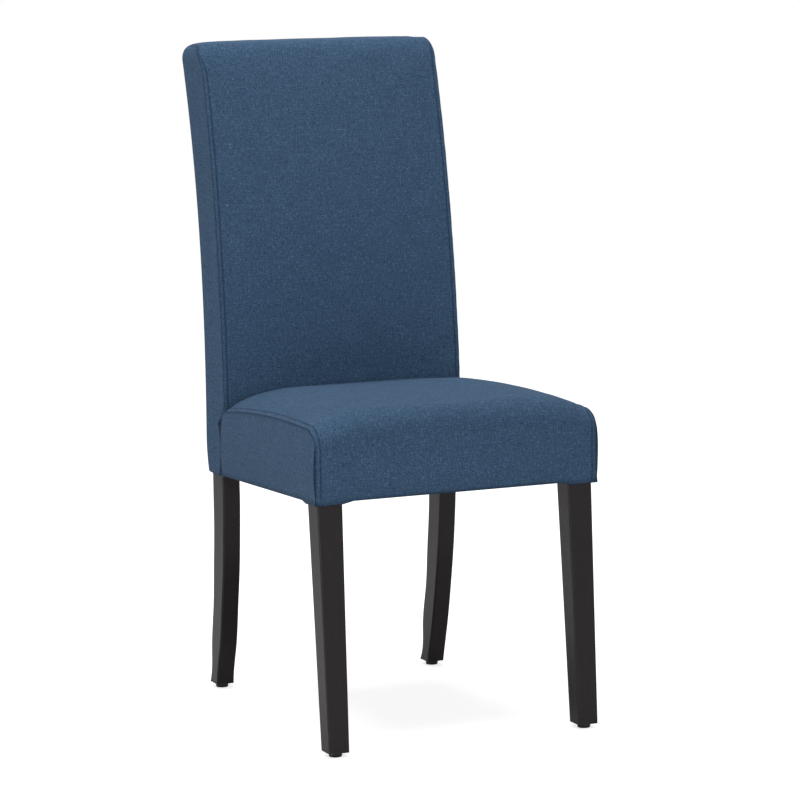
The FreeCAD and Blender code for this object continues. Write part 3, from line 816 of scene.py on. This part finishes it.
def weave_group():
    """Plain weave of uneven yarns: colour with slubs and flecks, and the yarns' height."""
    group, b, given, out = new_group(
        "linen_weave",
        [("Pattern", "NodeSocketVector", None), ("Yarn Colour", "NodeSocketColor", (0.1, 0.1, 0.1, 1)),
         ("Light Yarn", "NodeSocketColor", (0.2, 0.2, 0.2, 1)),
         ("Dark Yarn", "NodeSocketColor", (0.05, 0.05, 0.05, 1)),
         ("Yarns per Metre", "NodeSocketFloat", 1500.0), ("Slub", "NodeSocketFloat", 1.0),
         ("Fleck", "NodeSocketFloat", 1.0)],
        [("Color", "NodeSocketColor"), ("Height", "NodeSocketFloat"), ("Roughness", "NodeSocketFloat")])
    parts = b.add("ShaderNodeSeparateXYZ")
    b.join(given["Pattern"], parts.inputs[0])
    wander = b.math("MULTIPLY", b.math("SUBTRACT", b.noise(given["Pattern"], 90.0, 1.0), 0.5), 1.6)
    counted = [b.math("MULTIPLY", parts.outputs[axis], given["Yarns per Metre"]) for axis in (0, 1)]
    warp, weft = (b.math("ABSOLUTE", b.math("SINE", b.math("ADD", b.math("MULTIPLY", count, math.pi), wander)))
                  for count in counted)
    whole = b.math("ADD", b.math("FLOOR", counted[0]), b.math("FLOOR", counted[1]))
    cross = b.math("MODULO", b.math("ABSOLUTE", whole), 2.0)
    height = b.math("ADD", b.math("MULTIPLY", warp, cross),
                    b.math("MULTIPLY", weft, b.math("SUBTRACT", 1.0, cross)))
    upright = b.noise(b.scaled(given["Pattern"], (1.0, 0.25, 1.0)), 560.0, 2.0, 0.65)
    level = b.noise(b.scaled(given["Pattern"], (0.25, 1.0, 1.0)), 560.0, 2.0, 0.65)
    broad_up = b.noise(b.scaled(given["Pattern"], (1.0, 0.1, 1.0)), 330.0, 1.0)
    broad_level = b.noise(b.scaled(given["Pattern"], (0.1, 1.0, 1.0)), 330.0, 1.0)
    grainy = b.noise(given["Pattern"], 460.0, 3.0, 0.7)
    cloudy = b.noise(given["Pattern"], 28.0, 2.0, 0.5)
    streak = b.math("ADD", b.math("MULTIPLY", upright, 0.27), b.math("MULTIPLY", level, 0.23))
    streak = b.math("ADD", streak, b.math("MULTIPLY", b.math("ADD", broad_up, broad_level), 0.07))
    streak = b.math("ADD", streak, b.math("MULTIPLY", grainy, 0.32))
    streak = b.math("ADD", streak, b.math("MULTIPLY", cloudy, 0.04))
    contrast = b.math("MULTIPLY", b.math("SUBTRACT", streak, 0.5), given["Slub"])
    darker = b.ramp(contrast, (0.0, -0.17, 0.0, 1.0))
    lighter = b.ramp(contrast, (0.0, 0.18, 0.0, 1.0))
    colour = b.mixed(darker, given["Yarn Colour"], given["Dark Yarn"])
    colour = b.mixed(lighter, colour, given["Light Yarn"])
    gap = b.math("MULTIPLY", b.math("SUBTRACT", 1.0, height), 0.35)
    colour = b.mixed(gap, colour, given["Dark Yarn"])
    spots = b.add("ShaderNodeTexVoronoi", feature="F1")
    b.join(b.scaled(given["Pattern"], (1.0, 0.55, 1.0)), spots.inputs["Vector"])
    spots.inputs["Scale"].default_value = 42.0
    near = b.ramp(spots.outputs["Distance"], (0.035, 0.015, 0.0, 1.0))
    rare = b.math("GREATER_THAN", b.noise(spots.outputs["Position"], 9.0, 0.0), 0.56)
    fleck = b.math("MULTIPLY", b.math("MULTIPLY", near, rare), given["Fleck"])
    pale = b.mixed(0.55, given["Light Yarn"], (0.55, 0.6, 0.66, 1.0))
    colour = b.mixed(fleck, colour, pale)
    b.join(colour, out["Color"])
    tall = b.math("ADD", b.math("MULTIPLY", height, 0.55), b.math("MULTIPLY", streak, 0.25))
    b.join(tall, out["Height"])
    b.join(b.math("ADD", 0.86, b.math("MULTIPLY", streak, 0.1)), out["Roughness"])
    return group


def wear_group():
    """Rubbed edges, fine scuffs and a few chips near the floor on finished surfaces."""
    group, b, given, out = new_group(
        "worn_finish",
        [("Finish", "NodeSocketColor", (0.02, 0.02, 0.02, 1)),
         ("Rubbed", "NodeSocketColor", (0.1, 0.1, 0.1, 1)),
         ("Bare", "NodeSocketColor", (0.5, 0.4, 0.3, 1)), ("Edge Width", "NodeSocketFloat", 0.002),
         ("Wear", "NodeSocketFloat", 0.5), ("Chips", "NodeSocketFloat", 0.0),
         ("Sheen Level", "NodeSocketFloat", 0.3)],
        [("Color", "NodeSocketColor"), ("Roughness", "NodeSocketFloat")])
    place = b.add("ShaderNodeTexCoord").outputs["Object"]
    geometry = b.add("ShaderNodeNewGeometry")
    bevel = b.add("ShaderNodeBevel", samples=4)
    b.join(given["Edge Width"], bevel.inputs["Radius"])
    dot = b.add("ShaderNodeVectorMath", operation="DOT_PRODUCT")
    b.join(bevel.outputs[0], dot.inputs[0])
    b.join(geometry.outputs["Normal"], dot.inputs[1])
    edge = b.ramp(dot.outputs["Value"], (0.99, 0.90, 0.0, 1.0))
    broken = b.ramp(b.noise(place, 60.0, 3.0, 0.6), (0.35, 0.65, 0.2, 1.0))
    rub = b.math("MULTIPLY", b.math("MULTIPLY", edge, broken), given["Wear"], True)
    colour = b.mixed(rub, given["Finish"], given["Rubbed"])
    height = b.add("ShaderNodeSeparateXYZ")
    b.join(place, height.inputs[0])
    low = b.ramp(height.outputs[2], (0.10, 0.02, 0.0, 1.0))
    spots = b.ramp(b.noise(place, 230.0, 1.0), (0.66, 0.69, 0.0, 1.0))
    chip = b.math("MULTIPLY", b.math("MULTIPLY", b.math("MULTIPLY", spots, low), edge), given["Chips"], True)
    colour = b.mixed(chip, colour, given["Bare"])
    b.join(colour, out["Color"])
    scuff = b.noise(b.scaled(place, (1.0, 1.0, 0.25)), 240.0, 3.0, 0.6)
    rough = b.math("ADD", given["Sheen Level"], b.math("MULTIPLY", b.math("SUBTRACT", scuff, 0.5), 0.16))
    rough = b.math("ADD", rough, b.math("MULTIPLY", rub, 0.12))
    b.join(rough, out["Roughness"])
    return group


def grain_group():
    """Long wood grain along one axis: a colour mask and a height."""
    group, b, given, out = new_group(
        "wood_grain",
        [("Place", "NodeSocketVector", None), ("Coarseness", "NodeSocketFloat", 1.0)],
        [("Mask", "NodeSocketFloat"), ("Height", "NodeSocketFloat")])
    warp = b.noise(b.scaled(given["Place"], (1.0, 1.0, 0.12)), 22.0, 2.0)
    bent = b.add("ShaderNodeVectorMath", operation="ADD")
    b.join(given["Place"], bent.inputs[0])
    swing = b.add("ShaderNodeVectorMath", operation="SCALE")
    swing.inputs[0].default_value = (0.012, 0.009, 0.0)
    b.join(warp, swing.inputs["Scale"])
    b.join(swing.outputs[0], bent.inputs[1])
    rings = b.noise(b.scaled(bent.outputs[0], (1.0, 1.0, 0.045)), 170.0, 2.5, 0.55)
    pores = b.noise(b.scaled(given["Place"], (1.0, 1.0, 0.035)), 900.0, 1.5, 0.5)
    mask = b.math("ADD", b.math("MULTIPLY", rings, 0.7), b.math("MULTIPLY", pores, 0.3))
    b.join(b.ramp(mask, (0.36, 0.64, 0.0, 1.0)), out["Mask"])
    pits = b.ramp(pores, (0.40, 0.52, 0.0, 1.0))
    b.join(b.math("MULTIPLY", pits, given["Coarseness"]), out["Height"])
    return group


weave, wear, grain = weave_group(), wear_group(), grain_group()


def empty_board(owner):
    owner.use_nodes = True
    board = Board(owner.node_tree)
    board.nodes.clear()
    return board


def new_material(name, viewport):
    material = bpy.data.materials.new(name)
    material.diffuse_color = (*viewport, 1.0)
    board = empty_board(material)
    shader = board.add("ShaderNodeBsdfPrincipled")
    output = board.add("ShaderNodeOutputMaterial")
    board.join(shader.outputs[0], output.inputs["Surface"])
    return material, board, shader


def use_group(board, group, **given):
    node = board.add("ShaderNodeGroup")
    node.node_tree = group
    for label, value in given.items():
        board.value(node.inputs[label.replace("_", " ")], value)
    return node


def bump(board, height, distance, strength, shader):
    node = board.add("ShaderNodeBump")
    board.join(height, node.inputs["Height"])
    node.inputs["Distance"].default_value = distance
    node.inputs["Strength"].default_value = strength
    board.join(node.outputs[0], shader.inputs["Normal"])


# How far the cloth is darkened at seams, creases and hems: partly the seams' own lines, partly painted shade and
# painted shadow
SEAM_SHADE = 0.82


def woven(name, colour, light, dark, yarns, slub, fleck=0.0, sheen=0.1, depth=0.0004, from_pattern=True):
    """Cloth or webbing, with its weave on the piece's flat pattern or else on its place in space."""
    material, b, shader = new_material(name, colour[:3])
    if from_pattern:
        source = b.add("ShaderNodeUVMap", uv_map="cloth").outputs[0]
    else:
        source = b.add("ShaderNodeTexCoord").outputs["Object"]
    cloth = use_group(b, weave, Pattern=source, Yarn_Colour=colour, Light_Yarn=light, Dark_Yarn=dark,
                      Yarns_per_Metre=yarns, Slub=slub, Fleck=fleck)
    tone = cloth.outputs["Color"]
    if from_pattern:
        # Darkens the cloth by the mesh's attribute: the seams' lines, partly painted shade, and painted shade
        # and painted shadow at creases and hems
        seam_and_shade = b.add("ShaderNodeAttribute", attribute_name="seam_and_shade").outputs["Fac"]
        shade = (dark[0] * 0.5, dark[1] * 0.5, dark[2] * 0.5, 1.0)
        tone = b.mixed(b.math("MULTIPLY", seam_and_shade, SEAM_SHADE), tone, shade)
    b.join(tone, shader.inputs["Base Color"])
    b.join(cloth.outputs["Roughness"], shader.inputs["Roughness"])
    shader.inputs["Specular IOR Level"].default_value = 0.12
    shader.inputs["Sheen Weight"].default_value = sheen
    shader.inputs["Sheen Roughness"].default_value = 0.45
    shader.inputs["Sheen Tint"].default_value = (0.75, 0.86, 1.0, 1.0)
    bump(b, cloth.outputs["Height"], depth, 0.55, shader)
    return material


def finished_wood(name, finish, streak, rubbed, bare, level, edge_wear, chips, coarse, shine=0.5,
                  glaze=(1, 1, 1, 1)):
    """Planed or painted wood. level is how rough its gloss is, glaze tints the gloss."""
    material, b, shader = new_material(name, finish[:3])
    place = b.add("ShaderNodeTexCoord").outputs["Object"]
    lines = use_group(b, grain, Place=place, Coarseness=coarse)
    stain = b.mixed(lines.outputs["Mask"], finish, streak)
    worn = use_group(b, wear, Finish=stain, Rubbed=rubbed, Bare=bare, Wear=edge_wear, Chips=chips,
                     Sheen_Level=level)
    b.join(worn.outputs["Color"], shader.inputs["Base Color"])
    b.join(worn.outputs["Roughness"], shader.inputs["Roughness"])
    shader.inputs["Specular IOR Level"].default_value = shine
    shader.inputs["Specular Tint"].default_value = glaze
    bump(b, lines.outputs["Height"], 0.0002, 0.25, shader)
    return material


def moulded(name, finish, rubbed, level, metal=0.0, grit=1500.0):
    """Plastic or plated metal with a fine grit."""
    material, b, shader = new_material(name, finish[:3])
    place = b.add("ShaderNodeTexCoord").outputs["Object"]
    worn = use_group(b, wear, Finish=finish, Rubbed=rubbed, Bare=rubbed, Wear=0.6, Chips=0.0, Sheen_Level=level,
                     Edge_Width=0.0008)
    b.join(worn.outputs["Color"], shader.inputs["Base Color"])
    b.join(worn.outputs["Roughness"], shader.inputs["Roughness"])
    shader.inputs["Metallic"].default_value = metal
    bump(b, b.noise(place, grit, 2.0), 0.0001, 0.2, shader)
    return material


def foam_like(name, colour, pore, scale):
    """Open cells of foam, or the chips of pressed board."""
    material, b, shader = new_material(name, colour[:3])
    place = b.add("ShaderNodeTexCoord").outputs["Object"]
    cells = b.add("ShaderNodeTexVoronoi", feature="DISTANCE_TO_EDGE")
    b.join(place, cells.inputs["Vector"])
    cells.inputs["Scale"].default_value = scale
    wall = b.ramp(cells.outputs["Distance"], (0.0, 0.2, 0.0, 1.0))
    cloudy = b.noise(place, 30.0, 3.0)
    tone = b.mixed(b.math("MULTIPLY", b.math("ADD", wall, cloudy), 0.5), pore, colour)
    b.join(tone, shader.inputs["Base Color"])
    shader.inputs["Roughness"].default_value = 0.95
    bump(b, wall, 0.0004, 0.5, shader)
    return material


blue_linen = woven(
    "blue_linen", (0.049, 0.097, 0.172, 1), light=(0.106, 0.197, 0.310, 1), dark=(0.019, 0.041, 0.080, 1),
    yarns=1500.0, slub=1.35, fleck=1.0, sheen=0.04)
navy_thread = woven(
    "navy_thread", (0.020, 0.034, 0.062, 1), light=(0.035, 0.055, 0.095, 1), dark=(0.010, 0.017, 0.032, 1),
    yarns=2600.0, slub=0.8, depth=0.0001, from_pattern=False)
black_lining = woven(
    "black_lining", (0.012, 0.012, 0.013, 1), light=(0.028, 0.028, 0.030, 1), dark=(0.005, 0.005, 0.006, 1),
    yarns=420.0, slub=0.8, depth=0.0003)
elastic_webbing = woven(
    "elastic_webbing", (0.020, 0.020, 0.022, 1), light=(0.30, 0.29, 0.26, 1), dark=(0.008, 0.008, 0.009, 1),
    yarns=330.0, slub=1.3, depth=0.0006, from_pattern=False)
black_satin_wood = finished_wood(
    "black_satin_wood", (0.0034, 0.0026, 0.0029, 1), streak=(0.0058, 0.0044, 0.0046, 1),
    rubbed=(0.055, 0.046, 0.042, 1), bare=(0.50, 0.42, 0.33, 1), level=0.34, edge_wear=0.55, chips=1.0,
    coarse=0.5, shine=0.36, glaze=(1.0, 0.90, 0.94, 1))
planed_wood = finished_wood(
    "planed_wood", (0.50, 0.35, 0.20, 1), streak=(0.37, 0.235, 0.12, 1), rubbed=(0.56, 0.42, 0.27, 1),
    bare=(0.6, 0.45, 0.3, 1), level=0.62, edge_wear=0.3, chips=0.0, coarse=1.0)
pressed_board = foam_like("pressed_board", (0.20, 0.115, 0.055, 1), pore=(0.11, 0.06, 0.03, 1), scale=900.0)
cut_foam = foam_like("cut_foam", (0.72, 0.66, 0.46, 1), pore=(0.48, 0.42, 0.26, 1), scale=1400.0)
black_plastic = moulded("black_plastic", (0.014, 0.014, 0.015, 1), rubbed=(0.06, 0.06, 0.062, 1), level=0.42)
plated_steel = moulded(
    "plated_steel", (0.62, 0.62, 0.60, 1), rubbed=(0.75, 0.75, 0.74, 1), level=0.33, metal=1.0, grit=900.0)


def dress(obj, material):
    obj.data.materials.clear()
    obj.data.materials.append(material)


node_finish = {
    "leg_wood": black_satin_wood, "frame_wood": planed_wood, "hardboard": pressed_board, "foam": cut_foam,
    "wadding": cut_foam, "webbing": elastic_webbing, "blue_fabric": blue_linen, "black_lining": black_lining,
    "black_plastic": black_plastic, "steel": plated_steel,
}
slots = {part["node"]: part["material_slot"] for part in frame["record"]["subparts"]}
for name, obj in nodes.items():
    for slot_number in range(max(1, len(obj.material_slots))):
        if obj.material_slots:
            obj.material_slots[slot_number].material = node_finish[slots[name]]
        else:
            obj.data.materials.append(node_finish[slots[name]])


# Stitches

def stitch_tree():
    """Small thread stitches set along a line of points."""
    tree = bpy.data.node_groups.new("stitch_row", "GeometryNodeTree")
    sockets = tree.interface
    sockets.new_socket("Geometry", in_out="INPUT", socket_type="NodeSocketGeometry")
    for label, start in (("Pitch", 0.0042), ("Length", 0.0031), ("Thread", 0.0007)):
        sockets.new_socket(label, in_out="INPUT", socket_type="NodeSocketFloat").default_value = start
    sockets.new_socket("Finish", in_out="INPUT", socket_type="NodeSocketMaterial")
    sockets.new_socket("Geometry", in_out="OUTPUT", socket_type="NodeSocketGeometry")
    b = Board(tree)
    given, out = b.add("NodeGroupInput").outputs, b.add("NodeGroupOutput").inputs
    line = b.add("GeometryNodeMeshToCurve")
    b.join(given["Geometry"], line.inputs["Mesh"])
    even = b.add("GeometryNodeResampleCurve", mode="LENGTH")
    b.join(line.outputs[0], even.inputs["Curve"])
    b.join(given["Pitch"], even.inputs["Length"])
    bead = b.add("GeometryNodeMeshUVSphere")
    bead.inputs["Segments"].default_value = 6
    bead.inputs["Rings"].default_value = 5
    bead.inputs["Radius"].default_value = 0.5
    put = b.add("GeometryNodeInstanceOnPoints")
    b.join(even.outputs[0], put.inputs["Points"])
    b.join(bead.outputs["Mesh"], put.inputs["Instance"])
    way = b.add("GeometryNodeInputTangent")
    turn_to = b.add("FunctionNodeAlignRotationToVector", axis="X")
    b.join(way.outputs[0], turn_to.inputs["Vector"])
    b.join(turn_to.outputs[0], put.inputs["Rotation"])
    size = b.add("ShaderNodeCombineXYZ")
    b.join(given["Length"], size.inputs[0])
    b.join(given["Thread"], size.inputs[1])
    b.join(given["Thread"], size.inputs[2])
    b.join(size.outputs[0], put.inputs["Scale"])
    real = b.add("GeometryNodeRealizeInstances")
    b.join(put.outputs[0], real.inputs[0])
    soft = b.add("GeometryNodeSetShadeSmooth")
    b.join(real.outputs[0], soft.inputs[0])
    paint = b.add("GeometryNodeSetMaterial")
    b.join(soft.outputs[0], paint.inputs["Geometry"])
    b.join(given["Finish"], paint.inputs["Material"])
    b.join(paint.outputs[0], out["Geometry"])
    return tree


def stitch_rows(name, lines, tree):
    """One piece with the stitches along several lines of points."""
    verts, edges = [], []
    for points in lines:
        start = len(verts)
        verts += [tuple(p) for p in points]
        edges += [(start + n, start + n + 1) for n in range(len(points) - 1)]
    mesh = bpy.data.meshes.new(name)
    mesh.from_pydata(verts, edges, [])
    obj = new_object(name, mesh)
    modifier = obj.modifiers.new("stitches", "NODES")
    modifier.node_group = tree
    for item in tree.interface.items_tree:
        if item.item_type == "SOCKET" and item.in_out == "INPUT" and item.name == "Finish":
            modifier[item.identifier] = navy_thread
    apply_modifiers(obj)
    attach(obj, "chair")


THREAD_LIFT = 0.15


def on_cover(places, normals, path):
    """The points of a path of lattice points, just above the cover."""
    return [places[key] + normals[key] * THREAD_LIFT * MM for key in path]


tree = stitch_tree()
COLUMN = NEAR_SEAM.index(TOPSTITCH)
seat_lines = []
for i in (COLUMN, NI - COLUMN):
    path = [(i, j, NK) for j in range(1, NJ)] + [(i, NJ, k) for k in range(NK, 0, -1)]
    seat_lines.append(on_cover(seat_places, seat_normals, path))
back_lines = []
first = next(k for k in range(BK) if rows[k] > 440.0)       # the first row above the seat
for i in (COLUMN, BI - COLUMN):
    path = [(i, 0, k) for k in range(first, BK)] + [(i, j, BK) for j in range(0, BJ)]
    path += [(i, BJ, k) for k in range(BK, 0, -1)]
    back_lines.append(on_cover(back_places, back_normals, path))
stitch_rows("seat_topstitch", seat_lines, tree)
stitch_rows("back_topstitch", back_lines, tree)


# What each piece rides on and stands for

dress(seat_cushion, blue_linen)
dress(back_cushion, blue_linen)
dress(dust_cloth, black_lining)
for piece in (seat_cushion, back_cushion, dust_cloth):
    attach(piece, "chair")
for replaced, piece in webbing_pieces.items():
    dress(piece, elastic_webbing)
    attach(piece, "chair")
    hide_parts(replaced)
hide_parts("seat_foam", "seat_wadding", "seat_cover_center", "seat_cover_side_left",
            "seat_cover_side_right")
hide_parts("back_foam", "back_cover_center", "back_cover_side_left", "back_cover_side_right")
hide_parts("dust_cover")


# Floor, light and camera

def pale_floor():
    bm = bmesh.new()
    corners = [(-9, -9), (9, -9), (9, 9), (-9, 9)]
    bm.faces.new([bm.verts.new((x, y, 0.0)) for x, y in corners])
    floor = new_object("floor", new_mesh("floor", bm))
    material = bpy.data.materials.new("pale_floor")
    b = empty_board(material)
    matt = b.add("ShaderNodeBsdfDiffuse")
    matt.inputs["Color"].default_value = (0.80, 0.80, 0.80, 1)
    glow = b.add("ShaderNodeEmission")
    glow.inputs["Color"].default_value = (1, 1, 1, 1)
    seen = b.add("ShaderNodeLightPath").outputs["Is Camera Ray"]
    b.join(b.math("MULTIPLY", seen, 0.68), glow.inputs["Strength"])
    both = b.add("ShaderNodeAddShader")
    b.join(matt.outputs[0], both.inputs[0])
    b.join(glow.outputs[0], both.inputs[1])
    output = b.add("ShaderNodeOutputMaterial")
    b.join(both.outputs[0], output.inputs["Surface"])
    dress(floor, material)


def studio_world():
    world = bpy.data.worlds.new("studio")
    scene.world = world
    b = empty_board(world)
    light = b.add("ShaderNodeBackground")
    light.inputs["Color"].default_value = (1, 1, 1, 1)
    path = b.add("ShaderNodeLightPath")
    shown = b.math("MAXIMUM", path.outputs["Is Camera Ray"], path.outputs["Is Glossy Ray"])
    b.join(b.math("ADD", 0.40, b.math("MULTIPLY", shown, 0.60)), light.inputs["Strength"])
    output = b.add("ShaderNodeOutputWorld")
    b.join(light.outputs[0], output.inputs["Surface"])


def soft_box(name, spot, aim, size, power):
    data = bpy.data.lights.new(name, "AREA")
    data.shape, data.size, data.size_y, data.energy = "RECTANGLE", size[0], size[1], power
    lamp = new_object(name, data)
    lamp.location = spot
    lamp.rotation_euler = (Vector(aim) - Vector(spot)).to_track_quat("-Z", "Y").to_euler()


def photo_camera():
    """The fitted camera: a long lens, above the seat, from the chair's left front."""
    spot = Vector((-2.03603, -4.70633, 1.17394))
    yaw, pitch, roll = (math.radians(a) for a in (-23.8, -7.97, -0.77))
    ahead = Vector((-math.sin(yaw) * math.cos(pitch), math.cos(yaw) * math.cos(pitch), math.sin(pitch)))
    across = Vector((math.cos(yaw), math.sin(yaw), 0.0))
    above = across.cross(ahead)
    right = across * math.cos(roll) + above * math.sin(roll)
    top = above * math.cos(roll) - across * math.sin(roll)
    data = bpy.data.cameras.new("camera")
    focal_points, picture_points, sensor = 3504.21, 800.0, 36.0
    data.sensor_width = sensor
    data.lens = focal_points / picture_points * sensor
    data.shift_x, data.shift_y = -0.0042, -0.0002
    data.clip_end = 60.0
    camera = new_object("camera", data)
    camera.matrix_world = Matrix((
        (right.x, top.x, -ahead.x, spot.x), (right.y, top.y, -ahead.y, spot.y),
        (right.z, top.z, -ahead.z, spot.z), (0, 0, 0, 1)))
    scene.camera = camera


pale_floor()
studio_world()
soft_box("over", spot=(-0.3, 0.0, 3.2), aim=(0, 0, 0.4), size=(2.6, 2.6), power=70.0)
soft_box("left", spot=(-1.75, -1.4, 0.4), aim=(-0.1, -0.1, 0.42), size=(1.3, 1.2), power=10.4)
soft_box("front", spot=(0.2, -4.4, 1.9), aim=(0, 0, 0.5), size=(2.6, 2.2), power=22.5)
photo_camera()
scene.view_settings.view_transform = "Standard"
